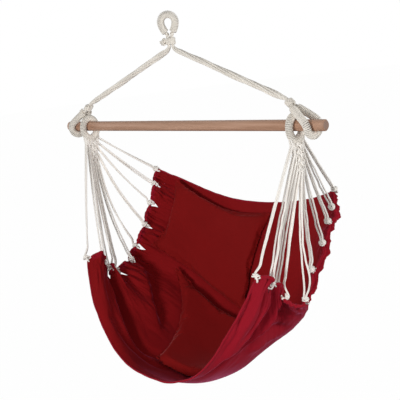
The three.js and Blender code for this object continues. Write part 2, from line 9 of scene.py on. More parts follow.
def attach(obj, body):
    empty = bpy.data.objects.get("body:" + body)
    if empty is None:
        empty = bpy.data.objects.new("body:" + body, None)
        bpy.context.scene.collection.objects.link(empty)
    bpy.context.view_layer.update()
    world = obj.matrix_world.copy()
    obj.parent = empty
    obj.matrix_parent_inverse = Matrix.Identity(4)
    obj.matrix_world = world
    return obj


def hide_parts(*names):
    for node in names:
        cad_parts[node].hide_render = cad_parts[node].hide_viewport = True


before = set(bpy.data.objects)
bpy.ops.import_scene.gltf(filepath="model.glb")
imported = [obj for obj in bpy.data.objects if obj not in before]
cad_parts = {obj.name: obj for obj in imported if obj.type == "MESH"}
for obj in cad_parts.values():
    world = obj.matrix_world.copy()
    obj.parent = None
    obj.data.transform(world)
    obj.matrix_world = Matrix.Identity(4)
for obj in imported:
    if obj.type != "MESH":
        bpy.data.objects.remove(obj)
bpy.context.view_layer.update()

SIDES = {"left": -1, "right": 1}
ACROSS = np.array([1.0, 0, 0])
UP = np.array([0, 0, 1.0])
SIM_FRAMES = 20
FIT_GAP = 0.0003  # between pieces that touch

# Wooden bar
BAR_Z = -0.305
BAR_RADIUS = 0.015
BAR_SIDE_PLAY = 0.0015

# Whipped rope: a core with twine wound round it, and lashings over two bare cores
CORE_RADIUS = 0.0056
CORE_LAY = 0.03
WHIPPED_RADIUS = 0.0107
TWINE_RADIUS = 0.0021
TWINE_PITCH = 0.0038
WINDING_RELIEF = 0.0009  # the solid's winding falls short of its round by this
SEIZING_WALL = 0.0036
SEIZING_HEIGHT = 0.02
SEIZING_TURNS = 5
SEIZING_LAY = 0.009
ROPE_GROOVE = 0.24  # how deep strands part in a plain rope, as a share of its radius

# Top eye
EYE_HOLE_WIDTH = 0.02
EYE_HOLE_HEIGHT = 0.038
EYE_WAIST = (0.88, 0.62)  # shares of the half width and of the hole's height
EYE_NECK = 0.026
EYE_BARE = 0.01
EYE_TURN = math.radians(35)
EYE_ACROSS = np.array([math.cos(EYE_TURN), math.sin(EYE_TURN), 0])

# Loops of the legs round the bar
LOOP_X = 0.46
LOOP_APEX_X = 0.403
LOOP_APEX_RISE = 0.052
LOOP_HIP = (0.77, 1.15)  # shares of the half width and of the bar's radius
LOOP_SHOULDER = (0.93, 0.7)

# Legs
LEG_RADIUS = 0.0095
LEG_TAPER = 0.045
LEG_STATIONS = (0.05, 0.12, 0.3, 0.5, 0.7, 0.88, 0.95)
LEG_STRANDS = 6
LEG_STRAND_RADIUS = 0.0032
LEG_STRAND_LAY = 0.034
LEG_STRAND_GROOVE = 0.12
LEG_LAY = 0.4

# Rings that the seat hangs on
RING_X = 0.404
RING_HOLE_HEIGHT = 0.042
RING_STEPS = 72

# Woven clew under each ring
WEAVE_TOP_WIDTH = 0.058
WEAVE_FOOT_WIDTH = 0.017
WEAVE_FOOT_DROP = 0.124
WEAVE_OVERLAP = 0.004  # how far its cords run on into the ring and past its foot
PLAIT_PITCH = 0.066
PLAIT_HALF_WIDTH = 0.0105
PLAIT_NARROWING = 0.4
PLAIT_DEPTH = 0.0058

# Cords
CORD_RADIUS = 0.0027
CORD_LAY = 0.02
CORD_PAIR_GAP = 0.0008
CORD_STATIONS = np.linspace(1, 0.1, 14)
CORD_WANDER = {-1: 0.0014, 1: 0.0024}
TIGHT_CORD = 0.96 * CORD_RADIUS  # in a plait or a knot
BIGHT_RADIUS = 0.0064
BIGHT_SHOULDER = 0.001
KNOT_HEIGHT_SHARE = 2.4  # of the bight's radius
KNOT_REACH = 0.0074
KNOT_TILT = 0.0016
BORDER_CORD_RADIUS = 0.0025

# Cloth seat
CLOTH_THICKNESS = 0.002
SHEET_THICKNESS = 0.0014
SEAT_HALF_WIDTH = 0.345
SEAT_BACK_REACH = 0.216
SEAT_DROP = 0.695
LEAN_RIGHT = 0.142
LEAN_FRONT = 0.145
TAB_LENGTH = 0.082
TABS = 10
CLOTH_WIDTH = 0.95
CLOTH_LENGTH = 0.82
RISE_POWER = 2.3
REACH_POWER = 4.5
NOTCH_DEPTH = 0.018
NOTCH_REACH = 0.13  # half width of a notch, as a share of a tab
PLEAT_DEPTH_SHARE = 0.33
PLEAT_SLOPE_SHARE = 0.5
PLEAT_FADE_POWER = 3
HEM_FLARE = {-1: 0.008, 1: 0.011}
HEM_STEPS = 16  # along the border cord, in one tab
FRILL_WIDTH = 0.022
FRILL_END = 0.57
FRILL_FADE = 0.14
SLEEVE_RADIUS = 0.0034
SLEEVE_SWELL = 0.0014

# Steps of the cloth's grid: the export thins a piece of more than 200,000 faces
CLOTH_ROWS = 245
CLOTH_COLUMNS = 200

# Hem notches from the back corner to the front corner, as shares of the seat's half width
# across, its back reach along Y and its drop along Z, measured from the bar's axis.
NOTCH_X = [0.997, 1, 0.994, 0.989, 0.98, 0.971, 0.92, 0.894, 0.903, 0.906, 0.909]
NOTCH_YZ = {
    -1: [(0.998, -0.259), (0.913, -0.326), (0.785, -0.401), (0.607, -0.49), (0.369, -0.563),
         (0.203, -0.62), (-0.148, -0.626), (-0.244, -0.61), (-0.308, -0.595), (-0.402, -0.561),
         (-0.647, -0.526)],
    1: [(0.963, -0.312), (0.883, -0.371), (0.771, -0.422), (0.605, -0.492), (0.362, -0.574),
        (0.169, -0.672), (-0.146, -0.624), (-0.205, -0.59), (-0.34, -0.57), (-0.4, -0.558),
        (-0.638, -0.511)],
}

# Middle line of the cloth from its back edge to its front edge, as shares of the same sizes
MIDDLE_YZ = [
    (1.318, -0.411), (1.209, -0.543), (1.1, -0.675), (0.993, -0.807), (0.727, -0.915),
    (0.318, -0.977), (-0.14, -0.999), (-0.591, -0.975), (-1.009, -0.915),
]

# Where each doubled cord leaves the weave, as shares of its side from foot to top
WEAVE_EXITS = [0.9, 0.72, 0.54, 0.35, 0.16, 0, 0, 0.16, 0.35, 0.54, 0.8]

# How far each doubled cord hangs off its straight line, as a share of its length
BOW_SHARES = {
    -1: [0.01, 0.015, 0.03, 0.05, 0.08, 0.05, 0.015, 0.01, 0.01, 0.01, 0.01],
    1: [0.005, 0.01, 0.01, 0.02, 0.03, 0.03, 0.01, 0.012, 0.016, 0.016, 0.01],
}

# Turns of the knot round a doubled cord: height above the hem and half width along it
KNOT_TURNS = [(0.0085, 0.0088), (0.013, 0.0052)]

# Pairs that hang open above their knot, by side and place, and how far
OPEN_PAIRS = {(1, 5): 0.013, (-1, 4): 0.008, (1, 8): 0.005}
OPEN_AT = 0.2  # share of the cord, from the hem, at which they are widest
OPEN_REACH = 0.13

# Corners of the cushions on the cloth, as (u, v): the edge towards the back first
BACK_CUSHION = [(-0.86, 0.02), (0.19, 0.03), (-0.965, 0.395), (-0.1, 0.435)]
SEAT_CUSHION = [(-0.82, 0.42), (0.25, 0.455), (-0.42, 0.86), (0.42, 0.86)]
CUSHION_STEPS = 60
CUSHION_SIDE_PULL = 0.05
CUSHION_SEAM_SHARE = 0.4
CUSHION_CROWN_POWER = 4
CUSHION_BELLY_POWER = 0.7
CUSHION_MESH = 0.005
PUCKER_HEIGHT = 0.0014
SLACK_HEIGHT = 0.0022
STUFFING = {
    "use_pressure": True, "uniform_pressure_force": 4, "tension_stiffness": 12,
    "compression_stiffness": 4, "bending_stiffness": 0.15, "shrink_min": -0.06,
}


# Lines and frames

def unit(vectors):
    vectors = np.asarray(vectors, float)
    return vectors / np.maximum(np.linalg.norm(vectors, axis=-1, keepdims=True), 1e-12)


def ease(value, width):
    """0 below 0, 1 above the width, and straight between."""
    return np.clip(value / width, 0, 1)


def circle(count):
    return np.linspace(0, 2 * math.pi, count, endpoint=False)


def spline(points, places):
    """Smooth line through evenly counted points, at places from 0 to 1."""
    points = np.asarray(points, float)
    padded = np.vstack([2 * points[0] - points[1], points, 2 * points[-1] - points[-2]])
    spans = len(points) - 1
    at = np.clip(np.asarray(places, float), 0, 1) * spans
    i = np.minimum(at.astype(int), spans - 1)
    x = (at - i)[..., None]
    p0, p1, p2, p3 = padded[i], padded[i + 1], padded[i + 2], padded[i + 3]
    rise = p2 - p0
    bend = 2 * p0 - 5 * p1 + 4 * p2 - p3
    turn = 3 * (p1 - p2) + p3 - p0
    return p1 + 0.5 * x * (rise + x * (bend + x * turn))


def travel(points):
    return np.r_[0, np.cumsum(np.linalg.norm(np.diff(points, axis=0), axis=1))]


def even(points, step):
    """Smooth line through points, cut into even steps."""
    dense = spline(points, np.linspace(0, 1, 24 * len(points)))
    run = travel(dense)
    count = max(int(round(run[-1] / step)), 2)
    places = np.linspace(0, run[-1], count + 1)
    return np.stack([np.interp(places, run, dense[:, k]) for k in range(3)], axis=1)


def frames(points):
    """Two normals along a line, turning as little as they can."""
    tangents = unit(np.gradient(points, axis=0))
    helper = np.eye(3)[np.argmin(np.abs(tangents[0]))]
    normal = unit(np.cross(tangents[0], helper))
    normals = [normal]
    for tangent in tangents[1:]:
        normal = unit(normal - tangent * (normal @ tangent))
        normals.append(normal)
    normals = np.array(normals)
    return normals, np.cross(tangents, normals)


def turned(near, far, angle):
    """One unit vector for each point of a line, at its own angle round it."""
    return near * np.cos(angle)[:, None] + far * np.sin(angle)[:, None]


def spokes(near, far, angles):
    """Unit vectors all round a line, the same angles at each of its points."""
    return near[:, None] * np.cos(angles)[:, None] + far[:, None] * np.sin(angles)[:, None]


# Meshes

def add_mesh(name, points, faces, kind, body, replaces=(), **attributes):
    material, slot = kind
    mesh = bpy.data.meshes.new(name)
    mesh.from_pydata([tuple(p) for p in points], [], [tuple(f) for f in faces])
    mesh.update()
    mesh.shade_smooth()
    for key, values in attributes.items():
        layer = mesh.attributes.new(key, "FLOAT", "POINT")
        layer.data.foreach_set("value", np.asarray(values, np.float32))
    piece = bpy.data.objects.new(name, mesh)
    bpy.context.scene.collection.objects.link(piece)
    mesh.materials.append(material)
    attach(piece, body)
    if replaces:
        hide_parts(*replaces)
    return piece


def tube_faces(count, sides, start=0):
    rings = start + np.arange(count * sides).reshape(count, sides)
    near, far = rings[:-1], rings[1:]
    walls = np.stack([near, np.roll(near, -1, axis=1), np.roll(far, -1, axis=1), far], axis=-1)
    return [*walls.reshape(-1, 4).tolist(), rings[0, ::-1].tolist(), rings[-1].tolist()]


def add_ropes(name, ropes, kind, body, replaces=()):
    """One piece from tubes, each given as its rings of points and its painted shade, which is 0 on
    top of the strands and rises to 1 between them, where it darkens the colour."""
    points, faces = [], []
    for rings, _ in ropes:
        faces += tube_faces(*rings.shape[:2], len(points))
        points += list(rings.reshape(-1, 3))
    groove = np.concatenate([hollow.reshape(-1) for _, hollow in ropes])
    add_mesh(name, points, faces, kind, body, replaces, groove=groove)


def laid_rope(points, radius, lay, strands=3, sides=10, depth=ROPE_GROOVE, turn=0.0, flare=1.0):
    """A rope of strands twisted round a line, and the painted shade that darkens its colour between
    the strands.
    """
    angles = circle(sides)
    twist = 2 * math.pi * travel(points)[:, None] / lay + turn
    hollow = 0.5 - 0.5 * np.cos(strands * (angles - twist))
    reach = radius * (1 - depth * hollow**2) * np.reshape(flare, (-1, 1))
    rings = points[:, None] + spokes(*frames(points), angles) * reach[..., None]
    # the second value is painted shade: 0 on top of the strands, up to 1 between them
    return rings, hollow**2 * min(depth / ROPE_GROOVE, 1)


def cord(points, radius=CORD_RADIUS, step=0.002, turn=0.0):
    return laid_rope(even(points, step), radius, CORD_LAY, turn=turn)


def winding(points, steps=22, sides=8):
    """Twine wound tightly round a line, with so many steps in each turn, and painted shade where
    the twine faces in, between its turns and towards the core.
    """
    length = travel(points)[-1]
    turns = max(int(round(length / TWINE_PITCH)), 1)
    dense = even(points, length / (turns * steps))
    out = turned(*frames(dense), 2 * math.pi * np.arange(len(dense)) / steps)
    line = dense + out * (WHIPPED_RADIUS - TWINE_RADIUS)
    way = spokes(*frames(line), circle(sides))
    facing = np.clip((way * out[:, None]).sum(axis=-1), 0, 1)
    # painted shade: darkest where the twine turns in, away from its outward side
    return line[:, None] + way * TWINE_RADIUS, 1 - facing**1.2


# Materials. An output is given as a node and the name or number of its socket.

THREAD_SCALE = 620 / (2 * math.pi)  # of the wave texture, some 314 threads in a metre


def node_material(name, settings):
    material = bpy.data.materials.new(name)
    material.use_nodes = True
    tree = material.node_tree
    shader = tree.nodes["Principled BSDF"]
    for key, value in settings.items():
        shader.inputs[key].default_value = value
    return material, tree, shader


def new_node(tree, kind, inputs=None, **settings):
    made = tree.nodes.new("ShaderNode" + kind)
    for key, value in settings.items():
        setattr(made, key, value)
    for key, value in (inputs or {}).items():
        made.inputs[key].default_value = value
    return made


def join(tree, output, node, socket):
    source, name = output
    tree.links.new(source.outputs[name], node.inputs[socket])


def maths(tree, operation, *terms):
    """A calculation with numbers and outputs."""
    made = new_node(tree, "Math", operation=operation)
    for place, term in enumerate(terms):
        if isinstance(term, tuple):
            join(tree, term, made, place)
        else:
            made.inputs[place].default_value = term
    return made, 0


def attribute(tree, name):
    return new_node(tree, "Attribute", attribute_name=name), "Fac"


def placed(tree, kind, place, inputs, **settings):
    """A node that is looked up at a place."""
    made = new_node(tree, kind, inputs, **settings)
    join(tree, place, made, "Vector")
    return made


def stretched(tree, place, scale):
    return placed(tree, "Mapping", place, {"Scale": scale}), "Vector"


def cloudy(tree, place, scale, detail, roughness=0.5):
    inputs = {"Scale": scale, "Detail": detail, "Roughness": roughness}
    return placed(tree, "TexNoise", place, inputs), "Fac"


def threads(tree, place, direction):
    """Bands of threads that lie side by side in one direction."""
    inputs = {"Scale": THREAD_SCALE, "Distortion": 0.6, "Detail": 1.0}
    return placed(tree, "TexWave", place, inputs, bands_direction=direction), "Fac"


def ramp(tree, share, first, last, ends=(0, 1)):
    made = new_node(tree, "ValToRGB")
    for element, place, colour in zip(made.color_ramp.elements, ends, (first, last)):
        element.position = place
        element.color = (*colour, 1)
    join(tree, share, made, "Fac")
    return made, "Color"


def mixed(tree, share, colour, other, blend):
    made = new_node(tree, "Mix", data_type="RGBA", blend_type=blend)
    made.inputs["B"].default_value = (*other, 1)
    join(tree, share, made, "Factor")
    join(tree, colour, made, "A")
    return made, "Result"


def add_bump(tree, height, shader, strength, distance):
    made = new_node(tree, "Bump", {"Strength": strength, "Distance": distance})
    join(tree, height, made, "Height")
    join(tree, (made, "Normal"), shader, "Normal")


def cotton(name, light, dark):
    """Rope and cord: fine fibres, painted shade in the grooves between strands and turns, and
    darker in soft patches.
    """
    material, tree, shader = node_material(name, {
        "Roughness": 0.9, "Specular IOR Level": 0.2, "Sheen Weight": 0.25, "Sheen Roughness": 0.6,
    })
    place = new_node(tree, "TexCoord"), "Object"
    patches = cloudy(tree, place, 18, 3)
    fibres = cloudy(tree, place, 420, 4, 0.7)
    patchy = maths(tree, "MULTIPLY_ADD", patches, 0.5, -0.2)
    # painted shade from the grooves, added to the random patches of tone
    shade = maths(tree, "MULTIPLY_ADD", attribute(tree, "groove"), 0.6, patchy)
    join(tree, ramp(tree, shade, light, dark), shader, "Base Color")
    add_bump(tree, fibres, shader, 0.35, 0.0006)
    return material


def canvas(name, light, dark, outer, sheen_tint):
    """Plain-woven cotton: threads both ways, slubs, and a slight change of tone in patches.
    On the cloth's outer face, frill and hems, outer multiplies its colour: painted light that makes
    them lighter and pinker."""
    material, tree, shader = node_material(name, {
        "Roughness": 0.85, "Specular IOR Level": 0.12, "Sheen Weight": 0.3,
        "Sheen Roughness": 0.3, "Sheen Tint": (*sheen_tint, 1),
    })
    place = new_node(tree, "UVMap", uv_map="weave"), "UV"
    patches = cloudy(tree, place, 9, 4)
    slubs = cloudy(tree, stretched(tree, place, (30, 420, 1)), 1, 3)
    weave = maths(tree, "MULTIPLY", threads(tree, place, "X"), threads(tree, place, "Y"))
    mottle = maths(tree, "MULTIPLY", maths(tree, "ADD", patches, slubs), 0.4)
    tone = maths(tree, "MULTIPLY_ADD", weave, 0.25, mottle)
    colour = ramp(tree, tone, dark, light, (0.2, 0.8))
    # painted light: lighter, pinker colour on the cloth's outer face, frill and hems
    colour = mixed(tree, attribute(tree, "outside"), colour, outer, "MULTIPLY")
    join(tree, colour, shader, "Base Color")
    add_bump(tree, weave, shader, 0.3, 0.0004)
    return material


def turned_wood(name):
    """Grain along the bar, fine flecks, and darker end grain."""
    material, tree, shader = node_material(name, {"Roughness": 0.48})
    coordinate = new_node(tree, "TexCoord")
    place = coordinate, "Object"
    grain = cloudy(tree, stretched(tree, place, (2.2, 60, 60)), 1.6, 6, 0.65)
    flecks = cloudy(tree, stretched(tree, place, (40, 700, 700)), 1, 2)
    colour = ramp(tree, grain, (0.36, 0.19, 0.115), (0.56, 0.34, 0.235), (0.3, 0.72))
    axis = new_node(tree, "SeparateXYZ")
    join(tree, (coordinate, "Normal"), axis, "Vector")
    end = maths(tree, "POWER", maths(tree, "ABSOLUTE", (axis, "X")), 3)
    join(tree, mixed(tree, end, colour, (0.2, 0.1, 0.06), "MIX"), shader, "Base Color")
    add_bump(tree, flecks, shader, 0.2, 0.0004)
    return material


wood = turned_wood("bar_wood")
rope_cotton = cotton("rope_cotton", (0.94, 0.89, 0.81), (0.30, 0.25, 0.19))
cord_cotton = cotton("cord_cotton", (1.0, 0.97, 0.92), (0.74, 0.67, 0.6))
# outer paints light: the seat cloth's outer face, frill and hems come out lighter and pinker
seat_canvas = canvas("seat_canvas", (0.27, 0.005, 0.007), (0.20, 0.0035, 0.005),
                     outer=(1.25, 1.4, 2.8), sheen_tint=(1, 0.25, 0.5))
cushion_canvas = canvas("cushion_canvas", (0.235, 0.005, 0.005), (0.178, 0.0036, 0.0036),
                        outer=(1, 1, 1), sheen_tint=(1, 0.3, 0.3))

# Each with a slot name
ROPE = (rope_cotton, "cotton_rope")
CORD = (cord_cotton, "cotton_cord")
SEAT = (seat_canvas, "seat_cloth")
CUSHION = (cushion_canvas, "cushion_cloth")


# Cloth

def place_shares(across, shares):
    return np.array([(x * SEAT_HALF_WIDTH, y * SEAT_BACK_REACH, BAR_Z + z * SEAT_DROP)
                     for x, (y, z) in zip(across, shares)])


NOTCHES = {side: place_shares(side * np.array(NOTCH_X), NOTCH_YZ[side]) for side in (-1, 1)}
MIDDLE = place_shares([0] * len(MIDDLE_YZ), MIDDLE_YZ)


def drape(u, v):
    """The hung cloth without its folds. u runs from the left hem at -1 to the right hem at 1,
    v from the back edge at 0 to the front edge at 1."""
    u, v = np.broadcast_arrays(np.asarray(u, float), np.asarray(v, float))
    hem = np.where((u < 0)[..., None], spline(NOTCHES[-1], v), spline(NOTCHES[1], v))
    middle = spline(MIDDLE, v)
    across = np.abs(u)
    z = middle[..., 2] + (hem[..., 2] - middle[..., 2]) * across**RISE_POWER
    drop = BAR_Z - z
    x = hem[..., 0] * across + drop * LEAN_RIGHT
    y = middle[..., 1] + (hem[..., 1] - middle[..., 1]) * across**REACH_POWER
    return np.stack([x, y - drop * LEAN_FRONT, z], axis=-1)


def sitter_normal(u, v):
    """Unit normal of the hung cloth on the sitter's side."""
    u, v = np.broadcast_arrays(np.asarray(u, float), np.asarray(v, float))
    step = 1e-3
    low = np.clip(v - step, 0, 1 - 2 * step)
    across = drape(u + step, v) - drape(u - step, v)
    along = drape(u, low + 2 * step) - drape(u, low)
    return -unit(np.cross(across, along))


def pleat_depths(side):
    """How far the tab between two notches stands out, to one side and the other in turn."""
    chords = np.linalg.norm(np.diff(NOTCHES[side], axis=0), axis=1)
    spare = np.sqrt(np.maximum(TAB_LENGTH**2 - chords**2, 0))
    depth = np.minimum(PLEAT_DEPTH_SHARE * spare, PLEAT_SLOPE_SHARE * chords)
    even_tab = np.arange(TABS) % 2 == 0
    return np.where(even_tab == (side < 0), depth, -depth)


PLEATS = {side: pleat_depths(side) for side in (-1, 1)}


def pleat(u, v):
    tab = np.minimum((v * TABS + 1e-9).astype(int), TABS - 1)
    depth = np.where(u < 0, PLEATS[-1][tab], PLEATS[1][tab])
    return depth * np.sin(math.pi * (v * TABS - tab)) * np.abs(u) ** PLEAT_FADE_POWER


# Folds that the photograph shows. Each is a line of (u, v) places, how far the cloth stands
# back from the sitter along it, and how wide the fold is towards the back edge and towards
# the front edge.
FOLDS = [
    # deep valley inside the front left corner
    ([(-0.99, 0.8), (-0.94, 0.81), (-0.885, 0.812), (-0.81, 0.824), (-0.74, 0.836),
      (-0.64, 0.85), (-0.535, 0.848), (-0.455, 0.82), (-0.375, 0.785)], 0.028, 0.017, 0.02),
    # the band behind it and the hollow behind that
    ([(-0.99, 0.5), (-0.9, 0.563), (-0.795, 0.645), (-0.7, 0.7), (-0.6, 0.735)],
     -0.016, 0.011, 0.045),
    ([(-0.99, 0.44), (-0.9, 0.51), (-0.795, 0.595), (-0.7, 0.655), (-0.6, 0.7)],
     0.014, 0.03, 0.014),
    # soft folds between the valley and the front hem
    ([(-0.985, 0.915), (-0.88, 0.925), (-0.78, 0.93), (-0.67, 0.925), (-0.5, 0.915)],
     0.006, 0.01, 0.014),
    ([(-0.9, 0.875), (-0.78, 0.89), (-0.66, 0.9), (-0.5, 0.885)], -0.005, 0.01, 0.012),
    ([(-0.72, 0.955), (-0.55, 0.93), (-0.38, 0.88), (-0.22, 0.84)], 0.005, 0.014, 0.012),
    # valley beside the back cushion
    ([(-0.91, -0.01), (-0.94, 0.11), (-0.96, 0.188), (-0.98, 0.272), (-0.995, 0.308)],
     0.008, 0.01, 0.01),
    # the flap on the right: its edge stands out over the body behind it
    ([(1.0, 0.815), (0.954, 0.85), (0.908, 0.875), (0.866, 0.898), (0.79, 0.904),
      (0.748, 0.925), (0.698, 0.932), (0.613, 0.956), (0.45, 0.97), (0.25, 0.985)],
     0.026, 0.009, 0.055),
    ([(0.985, 0.785), (0.93, 0.825), (0.87, 0.862), (0.79, 0.872), (0.72, 0.895), (0.62, 0.925),
      (0.48, 0.945), (0.3, 0.96)], -0.013, 0.024, 0.01),
    # the lower ridge beside the flap and the hollow behind it
    ([(0.98, 0.705), (0.908, 0.741), (0.849, 0.765), (0.81, 0.781), (0.774, 0.809),
      (0.712, 0.845), (0.64, 0.87)], 0.016, 0.01, 0.016),
    ([(0.97, 0.665), (0.9, 0.7), (0.84, 0.725), (0.79, 0.745), (0.74, 0.78), (0.68, 0.82)],
     -0.013, 0.03, 0.012),
    # creases that run down the flap from its notches
    ([(0.99, 0.985), (0.948, 0.988), (0.902, 0.975), (0.849, 0.975), (0.777, 0.967),
      (0.685, 0.971), (0.6, 0.975)], -0.006, 0.008, 0.008),
    ([(0.954, 0.954), (0.925, 0.96), (0.892, 0.958), (0.839, 0.955), (0.76, 0.958),
      (0.66, 0.962)], 0.006, 0.008, 0.009),
    ([(0.98, 0.921), (0.938, 0.928), (0.902, 0.921), (0.846, 0.919), (0.807, 0.921),
      (0.764, 0.936), (0.7, 0.95)], -0.009, 0.01, 0.01),
    # slack folds in the body behind the flap
    ([(0.75, 0.74), (0.754, 0.69), (0.745, 0.63), (0.718, 0.573)], -0.009, 0.014, 0.014),
    ([(0.88, 0.725), (0.86, 0.69), (0.84, 0.63), (0.825, 0.59)], -0.009, 0.014, 0.014),
    ([(0.66, 0.78), (0.67, 0.71), (0.66, 0.64), (0.64, 0.58)], 0.006, 0.016, 0.016),
    ([(0.95, 0.62), (0.9, 0.61), (0.87, 0.58), (0.87, 0.53)], -0.008, 0.018, 0.018),
]
FOLD_FADE = 0.35  # share of a fold's line over which it dies out
HEM_HOLD = 0.06  # how far in, of the half width, the hem keeps the folds down
HEM_HOLD_SHARE = 0.75
GATHER_DEPTH, GATHER_SIZE = 0.0075, 0.012
CREASE_DEPTH, CREASE_SIZE = 0.003, 0.03
SAG_DEPTH, SAG_SIZE = 0.003, 0.1
ROLL_DEPTH, ROLL_WIDTH = 0.013, 0.032
FRILL_FALL = 0.75  # share of the frill that is turned away from the sitter
FRILL_CALM = 0.65  # share of its folds that the frill lacks


def nearest_on_line(flat, line):
    """For each place, how far the line is, whether the place lies in front of it, and where
    along the line the nearest point is, from 0 to 1."""
    nearest = np.full(flat.shape[:-1], np.inf)
    in_front = np.zeros(nearest.shape, bool)
    share = np.zeros(nearest.shape)
    for i in range(len(line) - 1):
        span = line[i + 1] - line[i]
        at = np.clip(((flat - line[i]) @ span) / (span @ span), 0, 1)
        gap = flat - (line[i] + at[..., None] * span)
        distance = np.linalg.norm(gap, axis=-1)
        closer = distance < nearest
        turn = (span[0] * gap[..., 1] - span[1] * gap[..., 0]) * np.sign(span[0] + 1e-9)
        nearest = np.where(closer, distance, nearest)
        in_front = np.where(closer, turn > 0, in_front)
        share = np.where(closer, (i + at) / (len(line) - 1), share)
    return nearest, in_front, share


def fold_depth(u, v):
    scale = np.array([CLOTH_WIDTH / 2, CLOTH_LENGTH])
    flat = np.stack([u, v], axis=-1) * scale
    total = np.zeros(u.shape)
    for places, depth, back_width, front_width in FOLDS:
        line = spline(np.array(places) * scale, np.linspace(0, 1, 6 * len(places)))
        nearest, in_front, share = nearest_on_line(flat, line)
        width = np.where(in_front, front_width, back_width)
        total += depth * ease(1 - share, FOLD_FADE) * np.exp(-((nearest / width) ** 2))
    return total * (1 - HEM_HOLD_SHARE * (1 - ease(1 - np.abs(u), HEM_HOLD)))


def wrinkle(points, size, seed):
    """Smooth noise from -1 to 1 at each point."""
    shift = Vector((seed * 7.3, seed * 3.1, seed * 5.7))
    values = [noise.noise(Vector(p) / size + shift) for p in points.reshape(-1, 3)]
    return np.array(values).reshape(points.shape[:-1])


def ridges(points, size, seed):
    """Sharp ridges, at 1, that fall away on both sides."""
    return 1 - np.abs(wrinkle(points, size, seed)) * 2.6


def frill_share(u, v):
    """Where the hem stands out past its cord as a loose frill: the back half of the right side."""
    return ease(FRILL_END - v, FRILL_FADE) * np.clip(0.35 + v / 0.05, 0, 1) * (np.asarray(u) > 0)


def gather_depth(u, v, flat):
    """Fine gathers along the hem and creases further in, deeper in the flap on the right."""
    across = np.minimum(np.abs(u), 1)
    gathers = GATHER_DEPTH * across**9 * ridges(flat * (0.22, 1, 1), GATHER_SIZE, 2)
    flap = ease(u - 0.35, 0.3) * ease(v - 0.72, 0.1)
    creases = across**3 * ridges(flat * (0.5, 1, 1) + (0, 0, 0.3), CREASE_SIZE, 3)
    return gathers, CREASE_DEPTH * (1 + flap) * creases


def front_roll(u, v):
    """How far the front edge rolls away from the sitter, least in the middle."""
    across = np.minimum(np.abs(u), 1)
    roll = ease(v - 1 + ROLL_WIDTH, ROLL_WIDTH)
    return ROLL_DEPTH * roll**1.6 * (0.35 + 0.65 * np.where(u < 0, across, across**3))


def cloth_surface(u, v):
    """The hung cloth with its folds, gathers, frill and rolled front edge."""
    past_cord = np.clip(np.abs(u) - 1, 0, None) * frill_share(u, v)
    u = u - np.sign(u) * past_cord * FRILL_FALL
    flat = np.stack([u * CLOTH_WIDTH / 2, v * CLOTH_LENGTH, 0 * u], axis=-1)
    calm = 1 - FRILL_CALM * frill_share(u, v)
    gathers, creases = gather_depth(u, v, flat)
    frill = past_cord * CLOTH_WIDTH / 2 * (0.9 + 0.4 * wrinkle(flat * (0.1, 1, 1), 0.02, 8))
    depth = (pleat(u, v) + gathers) * calm + fold_depth(u, v) + creases
    depth = depth + SAG_DEPTH * wrinkle(flat, SAG_SIZE, 1) + frill + front_roll(u, v)
    return drape(u, v) - sitter_normal(u, v) * depth[..., None]


def hem_flare(side, v):
    """How far the hem bulges out past the straight line from notch to notch."""
    return HEM_FLARE[side] * np.sin(math.pi * ((v * TABS) % 1)) ** 0.7


def edge_share(side, v):
    """Share of the half width at which the cloth ends: it dips in at each notch."""
    place = (v * TABS) % 1
    inside = ease(np.minimum(v, 1 - v) * TABS, 0.5)
    dip = NOTCH_DEPTH * inside * np.clip(1 - np.minimum(place, 1 - place) / NOTCH_REACH, 0, 1)
    frill = frill_share(side, v)
    reach = (hem_flare(side, v) - dip * (1 - frill)) * (1 - frill) + FRILL_WIDTH * frill
    return 1 + reach / (CLOTH_WIDTH / 2)


def hem_line(side, v):
    """The line of the border cord inside the hem."""
    return cloth_surface(side * (1 + hem_flare(side, v) / (CLOTH_WIDTH / 2)), v)


def two_grids(rows, columns):
    """Faces of two grids of the same size, the second turned the other way."""
    width = columns + 1
    corners = np.arange(rows)[:, None] * width + np.arange(columns)
    front = corners.reshape(-1, 1) + (0, width, width + 1, 1)
    back = front[:, ::-1] + (rows + 1) * width
    return front.tolist() + back.tolist()


def rim_faces(rows, columns):
    """Faces that join the edges of two grids of the same size."""
    width = columns + 1
    count = (rows + 1) * width
    rim = []
    for column in range(columns):
        far = rows * width + column
        rim += [(column, column + 1), (far + 1, far)]
    for row in range(rows):
        near = row * width
        rim += [(near + width, near), (near + columns, near + columns + width)]
    return [(a, b, count + b, count + a) for a, b in rim]


def flat_places(x, y):
    return np.stack(np.broadcast_arrays(x, y), axis=-1).reshape(-1, 2)


def add_weave_uv(piece, flat):
    """Flat places in metres, along which the threads run."""
    layer = piece.data.uv_layers.new(name="weave")
    corners = np.empty(len(piece.data.loops), int)
    piece.data.loops.foreach_get("vertex_index", corners)
    layer.data.foreach_set("uv", flat[corners].astype(np.float32).ravel())


